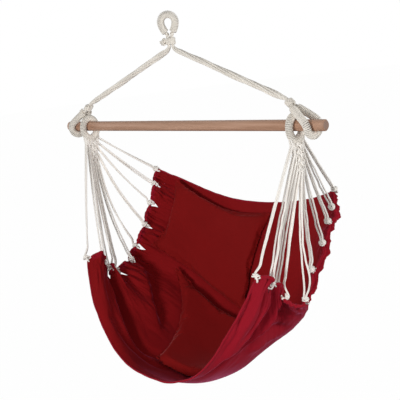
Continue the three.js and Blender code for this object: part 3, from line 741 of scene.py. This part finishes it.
def add_cloth():
    v = np.linspace(0, 1, CLOTH_ROWS + 1)[:, None]
    left, right = -edge_share(-1, v), edge_share(1, v)
    u = left + (right - left) * np.linspace(0, 1, CLOTH_COLUMNS + 1)
    v = np.broadcast_to(v, u.shape)
    middle = cloth_surface(u, v)
    normal = -unit(np.cross(np.gradient(middle, axis=1), np.gradient(middle, axis=0)))
    half = normal * SHEET_THICKNESS / 2
    points = np.vstack([(middle + half).reshape(-1, 3), (middle - half).reshape(-1, 3)])
    faces = two_grids(CLOTH_ROWS, CLOTH_COLUMNS) + rim_faces(CLOTH_ROWS, CLOTH_COLUMNS)
    # where painted light makes the cloth lighter and pinker: the frill past the border cord and the
    # whole outer face
    outside = np.r_[(np.abs(u) > 1).ravel(), np.ones(u.size)]
    piece = add_mesh("seat_cloth", points, faces, SEAT, "seat", ["seat_fabric"], outside=outside)
    flat = flat_places(u * CLOTH_WIDTH / 2, v * CLOTH_LENGTH)
    add_weave_uv(piece, np.vstack([flat, flat]))
    return piece


def add_hem(name, points, faces, flat):
    # the hems take the painted lighter, pinker colour all over
    piece = add_mesh(name, points, faces, SEAT, "seat", outside=np.ones(len(points)))
    add_weave_uv(piece, flat)
    return piece


def add_sleeves(side, word):
    """Hem rolled round the border cord, from notch to notch."""
    sides, steps, uv_width = 14, 40, 0.004
    angles = circle(sides)
    points, faces, places = [], [], []
    for tab in range(TABS):
        v = (tab + np.linspace(0.1, 0.9, steps)) / TABS
        line = hem_line(side, v)
        run = travel(line)
        radius = SLEEVE_RADIUS + SLEEVE_SWELL * ease(np.minimum(run, run[-1] - run), 0.006) ** 0.5
        lumps = 1 + 0.3 * wrinkle(line, 0.011, 5 + side)
        ring = spokes(*frames(line), angles)
        skin = line[:, None] + ring * (radius * lumps)[:, None, None]
        skin = skin + ring * (0.0006 * wrinkle(skin, 0.006, 9))[..., None]
        faces += tube_faces(steps, sides, len(points))
        points += list(skin.reshape(-1, 3))
        places.append(flat_places(uv_width * angles, (v * CLOTH_LENGTH)[:, None]))
    return add_hem(f"hem_{word}", points, faces, np.vstack(places))


def add_end_hem(name, v_edge):
    """Narrow rolled hem along the back or the front edge."""
    sides, steps, radius = 10, 240, 0.0026
    angles = circle(sides)
    u = np.linspace(-edge_share(-1, v_edge), edge_share(1, v_edge), steps)
    line = cloth_surface(u, np.full(u.shape, float(v_edge)))
    swell = radius * (1 + 0.25 * wrinkle(line, 0.02, 4))
    skin = line[:, None] + spokes(*frames(line), angles) * swell[:, None, None]
    flat = flat_places((u * CLOTH_WIDTH / 2)[:, None], radius * angles)
    return add_hem(name, skin.reshape(-1, 3), tube_faces(steps, sides), flat)


# Cushions

def cushion_grids(corners, thickness, clearance):
    """Front and back of a cushion on the cloth, the cloth's normal under it, its flat places,
    and its own places (s, t) from -1 to 1."""
    shares = np.linspace(-1, 1, CUSHION_STEPS + 1)
    s, t = np.meshgrid(shares, shares)
    x = ((s * (1 - CUSHION_SIDE_PULL * (1 - t * t)) + 1) / 2)[..., None]
    y = ((t * (1 - CUSHION_SIDE_PULL * (1 - s * s)) + 1) / 2)[..., None]
    a, b, c, d = np.array(corners)
    place = (a + (b - a) * x) * (1 - y) + (c + (d - c) * x) * y
    u, v = place[..., 0], place[..., 1]
    fill = np.sqrt((1 - s**CUSHION_CROWN_POWER) * (1 - t**CUSHION_CROWN_POWER))
    seam = CUSHION_SEAM_SHARE * thickness
    base = drape(u, v)
    normal = sitter_normal(u, v)
    deepest = np.where(u < 0, np.abs(PLEATS[-1]).max(), np.abs(PLEATS[1]).max())
    lift = CLOTH_THICKNESS / 2 + clearance + deepest * np.abs(u) ** PLEAT_FADE_POWER
    front = base + normal * (lift + seam + (thickness - seam) * fill)[..., None]
    back = base + normal * (lift + seam * (1 - fill**CUSHION_BELLY_POWER))[..., None]
    return front, back, normal, flat_places(u * CLOTH_WIDTH / 2, v * CLOTH_LENGTH), s, t


def applied(piece, modifier):
    """Work one modifier of the piece into its mesh."""
    graph = bpy.context.evaluated_depsgraph_get()
    mesh = bpy.data.meshes.new_from_object(piece.evaluated_get(graph), depsgraph=graph)
    piece.modifiers.remove(modifier)
    old = piece.data
    piece.data = mesh
    bpy.data.meshes.remove(old)


def coordinates(mesh):
    values = np.empty(len(mesh.vertices) * 3)
    mesh.vertices.foreach_get("co", values)
    return values.reshape(-1, 3)


def blow_up(piece, start, limit):
    """How the points of a cover move as a cloth simulation fills it, none past the limit."""
    cloth = piece.modifiers.new("stuffing", "CLOTH")
    for key, value in STUFFING.items():
        setattr(cloth.settings, key, value)
    cloth.settings.effector_weights.gravity = 0
    cloth.point_cache.frame_end = SIM_FRAMES
    scene = bpy.context.scene
    for number in range(1, SIM_FRAMES + 1):
        scene.frame_set(number)
    applied(piece, cloth)
    scene.frame_set(1)
    move = coordinates(piece.data) - start
    length = np.linalg.norm(move, axis=1, keepdims=True)
    return move * np.minimum(1, limit / np.maximum(length, 1e-9))


def nearest_points(points, places):
    """For each place, the number of the point that is nearest to it."""
    tree = KDTree(len(points))
    for i, point in enumerate(points):
        tree.insert(point, i)
    tree.balance()
    return np.array([tree.find(place)[1] for place in places])


def cover_wrinkles(s, t):
    """How far a cover stands out: puckers along its seam and slack in its middle."""
    edge = np.maximum(np.abs(s), np.abs(t))
    along = np.where(np.abs(s) > np.abs(t), t, s)
    pucker = np.sin(along * 46 + 3 * np.sin(along * 9)) * ease(edge - 0.8, 0.2)
    slack = wrinkle(np.stack([s, t * 1.6, 0 * s], axis=-1), 0.6, 6)
    return PUCKER_HEIGHT * pucker + SLACK_HEIGHT * slack * (1 - edge**4)


def add_cushion(name, body, corners, thickness, clearance, limit):
    """A cover of even mesh, filled by the simulation. It isn't let down through the cloth."""
    front, back, normal, flat, s, t = cushion_grids(corners, thickness, clearance)
    points = np.vstack([front.reshape(-1, 3), back.reshape(-1, 3)])
    piece = add_mesh(name, points, two_grids(CUSHION_STEPS, CUSHION_STEPS), CUSHION, body, [body])
    remesh = piece.modifiers.new("even", "REMESH")
    remesh.mode = "VOXEL"
    remesh.voxel_size = CUSHION_MESH
    applied(piece, remesh)
    start = coordinates(piece.data)
    move = blow_up(piece, start, limit)
    nearest = nearest_points(points, start)
    on_front = (nearest < s.size)[:, None]
    nearest = nearest % s.size
    normal = normal.reshape(-1, 3)[nearest]
    sinking = np.minimum((move * normal).sum(axis=1), 0)[:, None]
    move = np.where(on_front, move, move - normal * sinking)
    puff = cover_wrinkles(s.reshape(-1)[nearest], t.reshape(-1)[nearest])[:, None]
    place = start + move + normal * on_front * puff
    piece.data.vertices.foreach_set("co", place.ravel())
    add_weave_uv(piece, flat[nearest])
    piece.data.materials.clear()
    piece.data.materials.append(cushion_canvas)
    round_off = piece.modifiers.new("round", "SUBSURF")
    round_off.levels = 1
    applied(piece, round_off)
    piece.data.shade_smooth()
    return piece


# Top eye, loops, rings and legs

NECK_HALF = CORE_RADIUS + FIT_GAP
RUN_HALF = WHIPPED_RADIUS + FIT_GAP
NECK_TOP_Z = -EYE_HOLE_HEIGHT - EYE_BARE
NECK_FOOT_Z = NECK_TOP_Z - EYE_NECK
UNDER_TWINE = WHIPPED_RADIUS - 2 * TWINE_RADIUS
BESIDE_BAR = BAR_RADIUS + BAR_SIDE_PLAY + WHIPPED_RADIUS
RING_HALF_HEIGHT = RING_HOLE_HEIGHT / 2 + WHIPPED_RADIUS
RING_TOP_Z = BAR_Z + BAR_RADIUS + FIT_GAP + WHIPPED_RADIUS - WINDING_RELIEF
RING_Z = RING_TOP_Z - RING_HALF_HEIGHT


def eye_line():
    half = EYE_HOLE_WIDTH / 2 + WHIPPED_RADIUS
    outline = [(half * math.cos(angle), WHIPPED_RADIUS + half * (math.sin(angle) - 1))
               for angle in np.radians([90, 60, 30, 0])]
    outline += [
        (half * EYE_WAIST[0], -EYE_HOLE_HEIGHT * EYE_WAIST[1]),
        (RUN_HALF, -EYE_HOLE_HEIGHT),
        (NECK_HALF, NECK_TOP_Z),
        (NECK_HALF, NECK_FOOT_Z),
    ]
    right = [EYE_ACROSS * x + UP * z for x, z in outline]
    left = [EYE_ACROSS * -x + UP * z for x, z in outline[1:]]
    return left[::-1] + right


def loop_apex(side):
    return np.array([side * LOOP_APEX_X, 0, BAR_Z + LOOP_APEX_RISE])


def loop_lean(side):
    return unit([-side * (LOOP_X - LOOP_APEX_X), 0, LOOP_APEX_RISE])


def loop_line(side):
    apex = loop_apex(1)
    start = apex + loop_lean(1) * (SEIZING_HEIGHT + FIT_GAP)
    shoulder = apex - loop_lean(1) * EYE_BARE
    outline = [
        (LOOP_X, 0, BAR_Z - BAR_RADIUS - FIT_GAP - WHIPPED_RADIUS),
        (LOOP_X, BESIDE_BAR * LOOP_HIP[0], BAR_Z - BAR_RADIUS * LOOP_HIP[1]),
        (LOOP_X, BESIDE_BAR, BAR_Z),
        (LOOP_X - BAR_RADIUS * LOOP_SHOULDER[1], BESIDE_BAR * LOOP_SHOULDER[0], BAR_Z + BAR_RADIUS),
        (shoulder[0], RUN_HALF, shoulder[2]),
        (apex[0], NECK_HALF, apex[2]),
        (start[0], NECK_HALF, start[2]),
    ]
    far = [np.array([side * x, y, z]) for x, y, z in outline]
    near = [np.array([side * x, -y, z]) for x, y, z in outline[1:]]
    return near[::-1] + far


def add_whipped(name, line, body, replaced):
    """Rope under tight twine, bare at its last stretches."""
    core = laid_rope(even(line, 0.002), CORE_RADIUS, CORE_LAY, sides=16, depth=0.3)
    smooth = even(line, 0.001)
    run = travel(smooth)
    first, last = [run[np.argmin(np.linalg.norm(smooth - line[k], axis=1))] for k in (2, -3)]
    twine = winding(smooth[(run >= first) & (run <= last)])
    add_ropes(name, [core, twine], ROPE, body, replaced)


def add_seizing(name, foot, axis, across, body, replaced):
    """Turns of twine lashed round two runs of rope that lie side by side."""
    radius = CORE_RADIUS + SEIZING_WALL - TWINE_RADIUS
    turn = np.linspace(0, SEIZING_TURNS, SEIZING_TURNS * 28 + 1)
    angle = 2 * math.pi * turn
    push = NECK_HALF * np.tanh(3 * np.cos(angle)) / np.tanh(3)
    rise = TWINE_RADIUS + (SEIZING_HEIGHT - 2 * TWINE_RADIUS) * turn / SEIZING_TURNS
    line = foot + np.outer(push + radius * np.cos(angle), across)
    line = line + np.outer(radius * np.sin(angle), np.cross(axis, across)) + np.outer(rise, axis)
    twine = laid_rope(line, TWINE_RADIUS, SEIZING_LAY, strands=2, sides=8, depth=0.18)
    add_ropes(name, [twine], ROPE, body, replaced)


def add_stub(name, place, away, size, body):
    """Small overhand knot with a cut end, where a rope is made off."""
    away = unit(away)
    aside = unit(np.cross(away, [0.1, 0.2, 1.0]))
    rise = np.cross(away, aside)
    t = np.linspace(0, 2 * math.pi, 40)
    knot = (np.outer(np.sin(t) + 2 * np.sin(2 * t), aside)
            + np.outer(np.cos(t) - 2 * np.cos(2 * t), rise)
            + np.outer(-1.2 * np.sin(3 * t), away))
    line = place + knot * size
    end = line[-1] + np.outer([1.2, 2.4, 3.4], away + rise * 0.6) * size
    rope = laid_rope(even(np.vstack([line, end]), 0.0012), 1.25 * size, 0.012, sides=12)
    add_ropes(name, [rope], ROPE, body)


def add_ring(side, word):
    angles = np.linspace(-math.pi / 2, 1.5 * math.pi, RING_STEPS + 1)
    x = np.full(angles.shape, side * RING_X)
    z = RING_Z + RING_HALF_HEIGHT * np.sin(angles)
    line = np.stack([x, BESIDE_BAR * np.cos(angles), z], axis=1)
    core = laid_rope(line, UNDER_TWINE, CORE_LAY, sides=16, depth=0.1)
    add_ropes(f"ring_{word}", [core, winding(line)], ROPE, "seat",
              [f"ring_core_{word}", f"ring_whipping_{word}"])


def leg_line(side):
    foot = loop_apex(side) + loop_lean(side) * (SEIZING_HEIGHT + 2 * FIT_GAP)
    foot_end = foot + loop_lean(side) * CORE_RADIUS
    top = EYE_ACROSS * side * NECK_HALF + UP * (NECK_FOOT_Z - FIT_GAP)
    top_end = top - UP * CORE_RADIUS
    bend = top_end + unit(foot_end - top_end) * 2 * CORE_RADIUS - UP * CORE_RADIUS
    stations = [bend + (foot_end - bend) * k for k in LEG_STATIONS]
    return even([top, top_end, bend, *stations, foot_end, foot], 0.003)


def add_leg(side, word):
    """Strands that wind round each other, loosely and unevenly, and draw together at the ends."""
    line = leg_line(side)
    run = travel(line)
    swell = np.sin(ease(np.minimum(run, run[-1] - run), LEG_TAPER) * math.pi / 2)
    normals = frames(line)
    ropes = []
    for k in range(LEG_STRANDS):
        lumps = np.array([noise.noise(Vector((9 * r, 2.3 * k, side))) for r in run])
        spread = (LEG_RADIUS - LEG_STRAND_RADIUS) * (0.28 + 0.72 * swell) * (0.9 + 0.35 * lumps)
        out = turned(*normals, 2 * math.pi * (k / LEG_STRANDS + run / LEG_LAY))
        ropes.append(laid_rope(line + out * spread[:, None], LEG_STRAND_RADIUS, LEG_STRAND_LAY,
                               sides=12, depth=LEG_STRAND_GROOVE, flare=0.8 + 0.2 * swell, turn=k))
    add_ropes(f"leg_strands_{word}", ropes, ROPE, "suspension", [f"leg_{word}"])


# Clew and cords

WEAVE_FOOT_Z = BAR_Z - WEAVE_FOOT_DROP
WEAVE_REACH = BESIDE_BAR + WHIPPED_RADIUS + FIT_GAP - WINDING_RELIEF
WEAVE_DROP = RING_HALF_HEIGHT + WHIPPED_RADIUS + FIT_GAP - WINDING_RELIEF
WEAVE_ARC = math.asin(WEAVE_TOP_WIDTH / 2 / WEAVE_REACH)
WEAVE_TOP_Z = RING_Z - WEAVE_DROP * math.cos(WEAVE_ARC)


def half_of(index):
    """1 for a cord of the back half, -1 for one of the front half."""
    return 1 if index <= TABS // 2 else -1


def weave_exit(side, index):
    share = WEAVE_EXITS[index]
    half = half_of(index) * WEAVE_FOOT_WIDTH / 2
    if share == 0:
        return np.array([side * RING_X, half / 2, WEAVE_FOOT_Z + WEAVE_OVERLAP])
    foot = np.array([side * RING_X, half, WEAVE_FOOT_Z])
    top = np.array([side * RING_X, half_of(index) * WEAVE_TOP_WIDTH / 2, WEAVE_TOP_Z])
    return foot + (top - foot) * share


def plait_line(side, strand, twin):
    """One cord of the plait's three doubled strands, from the ring down to the foot."""
    top, foot = WEAVE_TOP_Z + 1.5 * WEAVE_OVERLAP, WEAVE_FOOT_Z - WEAVE_OVERLAP
    share = np.linspace(0, 1, 70)
    swing = 2 * math.pi * ((top - foot) * share / PLAIT_PITCH + strand / 3)
    y = PLAIT_HALF_WIDTH * (1 - PLAIT_NARROWING * share) * np.sin(swing) + 0.004 * (1 - share)
    z = top - (top - foot) * share
    x = side * RING_X + PLAIT_DEPTH * np.sin(2 * swing)
    line = np.stack([x, y, z], axis=1)
    aside = unit(np.cross(np.gradient(line, axis=0), ACROSS))
    return line + aside * twin * CORD_RADIUS * 0.95


def straight_lines(side, index):
    """A cord's runs inside the weave: two for an outer cord, one for an inner one."""
    order = min(index, TABS - index)
    foot = weave_exit(side, index)
    y = half_of(index) * WEAVE_TOP_WIDTH / 2 * (0.94 - 0.17 * order)
    arc = math.asin(min(abs(y) / WEAVE_REACH, 1))
    top = np.array([side * RING_X, y, RING_Z - WEAVE_DROP * math.cos(arc) + WEAVE_OVERLAP])
    lines = []
    for twin in (-1, 1) if order < 3 else (0,):
        apart = ACROSS * twin * CORD_RADIUS * 1.05
        lines.append([top + apart, (top + foot) / 2 + apart * 1.2, foot + apart])
    return lines


def add_weave(side, word):
    """Cords that come straight down from the ring, plaited over by three doubled strands."""
    cords = [cord(plait_line(side, strand, twin), TIGHT_CORD, turn=strand)
             for strand in range(3) for twin in (-1, 1)]
    for index in range(TABS + 1):
        cords += [cord(line, turn=index) for line in straight_lines(side, index)]
    add_ropes(f"clew_braid_{word}", cords, CORD, "seat", [f"clew_weave_{word}"])


HEMS = {side: hem_line(side, np.linspace(0, 1, TABS * HEM_STEPS + 1)) for side in (-1, 1)}


def notch_frame(side, index):
    """A notch's place on the border cord, and the ways towards the weave, beside the border
    cord and along it."""
    border = HEMS[side]
    at = index * HEM_STEPS
    hem = border[at]
    along = unit(border[min(at + 4, len(border) - 1)] - border[max(at - 4, 0)])
    pull = unit(weave_exit(side, index) - hem)
    up = unit(pull - along * (pull @ along))
    beside = unit(np.cross(along, up))
    return hem, up, beside * np.sign(beside[0]), along


def cord_run(side, index, run):
    """One run of a doubled cord, from the weave down past the border cord."""
    hem, up, beside, _ = notch_frame(side, index)
    span = weave_exit(side, index) - hem
    bow = unit([0, -span[2], span[1]]) * BOW_SHARES[side][index] * np.linalg.norm(span)
    half = CORD_RADIUS + CORD_PAIR_GAP / 2
    points = []
    for share in CORD_STATIONS:
        centre = hem + span * share + bow * math.sin(math.pi * share)
        spread = unit(ACROSS + (beside - ACROSS) * (1 - share))
        slack = CORD_WANDER[side] * math.sin(math.pi * min(share * 1.4, 1)) ** 0.5
        seed = Vector((side * 9.1 + index * 3.7, 7 * share, 0))
        sway = noise.noise(seed) * slack
        gap = abs(noise.noise(seed + Vector((0, 0, 5 + 3 * run)))) * slack * 1.6
        if run > 0:
            opening = math.exp(-(((share - OPEN_AT) / OPEN_REACH) ** 2))
            gap += OPEN_PAIRS.get((side, index), 0) * opening
        points.append(centre + ACROSS * sway + spread * run * (half + gap))
    points.append(hem + up * BIGHT_RADIUS * KNOT_HEIGHT_SHARE + beside * run * half)
    points.append(hem + beside * run * BIGHT_RADIUS + up * BIGHT_SHOULDER)
    points.append(hem + (beside * run - up) * BIGHT_RADIUS * math.sqrt(0.5))
    return points


def add_cord(side, word, index):
    """A doubled cord, one length that goes round the border cord, and the knot over it."""
    hem, up, beside, along = notch_frame(side, index)
    out, back = cord_run(side, index, 1), cord_run(side, index, -1)
    cords = [cord(out + [hem - up * BIGHT_RADIUS] + back[::-1])]
    angles = np.linspace(0, 2 * math.pi, 33)
    for rise, width in KNOT_TURNS:
        wrap = (hem + up * rise + np.outer(np.cos(angles), beside * KNOT_REACH)
                + np.outer(np.sin(angles), along * width + up * KNOT_TILT))
        cords.append(cord(wrap, TIGHT_CORD, step=0.0015))
    number = f"{word}_{index + 1:02d}"
    add_ropes(f"doubled_cord_{number}", cords, CORD, "seat", [f"cord_{number}"])


def add_border_cord(side, word):
    border = cord(HEMS[side], BORDER_CORD_RADIUS, step=0.0025)
    add_ropes(f"hem_cord_{word}", [border], CORD, "seat", [f"border_cord_{word}"])


# The object

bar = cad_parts["spreader_bar"]
bar.data.materials.clear()
bar.data.materials.append(wood)

add_whipped("top_eye", eye_line(), "top_eye", ["top_eye_core", "top_eye_whipping"])
add_seizing("top_eye_lashing", UP * NECK_FOOT_Z, UP, EYE_ACROSS, "top_eye", ["eye_seizing"])
add_stub("eye_knot", (-0.015, -0.012, NECK_FOOT_Z + 0.009), (-0.8, -0.6, 0.4), 0.003, "top_eye")
for word, side in SIDES.items():
    add_whipped(f"loop_{word}", loop_line(side), "suspension",
                [f"loop_core_{word}", f"loop_whipping_{word}"])
    add_seizing(f"loop_lashing_{word}", loop_apex(side), loop_lean(side), np.array([0, 1.0, 0]),
                "suspension", [f"loop_seizing_{word}"])
    add_leg(side, word)
    add_stub(f"loop_knot_{word}", loop_apex(side) + (side * 0.008, -0.016, -0.001),
             (side, -0.6, 0.4), 0.0019, "suspension")
    add_ring(side, word)
    add_weave(side, word)
    for index in range(TABS + 1):
        add_cord(side, word, index)
    add_border_cord(side, word)

cloth = add_cloth()
hems = [add_sleeves(side, word) for word, side in SIDES.items()]
hems += [add_end_hem("back_hem", 0), add_end_hem("front_hem", 1)]
back_cushion = add_cushion("back_cushion_cover", "back_cushion", BACK_CUSHION,
                           thickness=0.024, clearance=0.0015, limit=0.008)
seat_cushion = add_cushion("seat_cushion_cover", "seat_cushion", SEAT_CUSHION,
                           thickness=0.028, clearance=0.002, limit=0.01)


# Floor, light and camera

FLOOR_Z = -1.5
FLOOR_RADIUS = 14.0
FLOOR_SIDES = 96
FLOOR_WHITE_SHARE = 0.99  # of what the camera sees of it. The rest is lit and takes the shadow.
WORLD_LIGHT = 0.2
CAMERA_PLACE = (1.8045, -1.8465, 0.03655)
CAMERA_RIGHT = (0.7349146, 0.6661476, -0.12707445)
CAMERA_UP = (-0.0527358, 0.24295086, 0.96860405)
CAMERA_FORWARD = (-0.67610611, 0.70513988, -0.21367796)
FOCAL_PIXELS = 905.2
PHOTO_WIDTH = 400
SENSOR = 36.0


def blend_shaders(tree, share, first, second, end):
    blend = new_node(tree, "MixShader")
    join(tree, share, blend, "Fac")
    join(tree, first, blend, 1)
    join(tree, second, blend, 2)
    join(tree, (blend, "Shader"), end, "Surface")


def add_floor():
    mesh = bpy.data.meshes.new("floor")
    ring = [(FLOOR_RADIUS * math.cos(angle), FLOOR_RADIUS * math.sin(angle), FLOOR_Z)
            for angle in circle(FLOOR_SIDES)]
    mesh.from_pydata(ring, [], [tuple(range(FLOOR_SIDES))])
    floor = bpy.data.objects.new("floor", mesh)
    bpy.context.scene.collection.objects.link(floor)
    material, tree, shader = node_material("floor_white", {
        "Base Color": (0.3, 0.3, 0.3, 1), "Roughness": 0.9,
    })
    glow = new_node(tree, "Emission", {"Color": (1, 1, 1, 1), "Strength": 1.0})
    seen = new_node(tree, "LightPath"), "Is Camera Ray"
    share = maths(tree, "MULTIPLY", seen, FLOOR_WHITE_SHARE)
    blend_shaders(tree, share, (shader, "BSDF"), (glow, "Emission"), tree.nodes["Material Output"])
    mesh.materials.append(material)


def add_world():
    """A weak even light. The camera, gloss and glass see white."""
    world = bpy.data.worlds.new("studio")
    world.use_nodes = True
    tree = world.node_tree
    light = tree.nodes["Background"]
    light.inputs["Color"].default_value = (1, 1, 1, 1)
    light.inputs["Strength"].default_value = WORLD_LIGHT
    white = new_node(tree, "Background", {"Color": (1, 1, 1, 1), "Strength": 1.0})
    path = new_node(tree, "LightPath")
    seen = maths(tree, "ADD", (path, "Is Camera Ray"), (path, "Is Glossy Ray"))
    seen = maths(tree, "ADD", seen, (path, "Is Transmission Ray"))
    blend_shaders(tree, seen, (light, "Background"), (white, "Background"),
                  tree.nodes["World Output"])
    bpy.context.scene.world = world


def add_lamp(name, place, target, size, watts):
    data = bpy.data.lights.new(name, "AREA")
    data.shape = "DISK"
    data.size = size
    data.energy = watts
    lamp = bpy.data.objects.new(name, data)
    lamp.location = place
    lamp.rotation_euler = (Vector(target) - Vector(place)).to_track_quat("-Z", "Y").to_euler()
    bpy.context.scene.collection.objects.link(lamp)


def add_camera():
    data = bpy.data.cameras.new("camera")
    data.sensor_width = SENSOR
    data.lens = FOCAL_PIXELS / PHOTO_WIDTH * SENSOR
    data.clip_start = 0.05
    data.clip_end = 60
    camera = bpy.data.objects.new("camera", data)
    back = -Vector(CAMERA_FORWARD)
    turn = Matrix((CAMERA_RIGHT, CAMERA_UP, back)).transposed().to_4x4()
    camera.matrix_world = Matrix.Translation(CAMERA_PLACE) @ turn
    bpy.context.scene.collection.objects.link(camera)
    bpy.context.scene.camera = camera


add_floor()
add_world()
add_lamp("key", (0.7, -2.9, -0.3), (0, 0, -0.7), 0.8, 48)
add_lamp("fill", (2.0, -1.7, 0.35), (0, 0, -0.6), 1.2, 11)
add_lamp("right_rim", (2.4, 1.2, -0.3), (0, 0, -0.6), 1.0, 34)
add_lamp("left_rim", (-2.7, -0.9, -0.2), (0, 0, -0.6), 1.0, 16)
add_camera()

scene = bpy.context.scene
scene.view_settings.view_transform = "Standard"
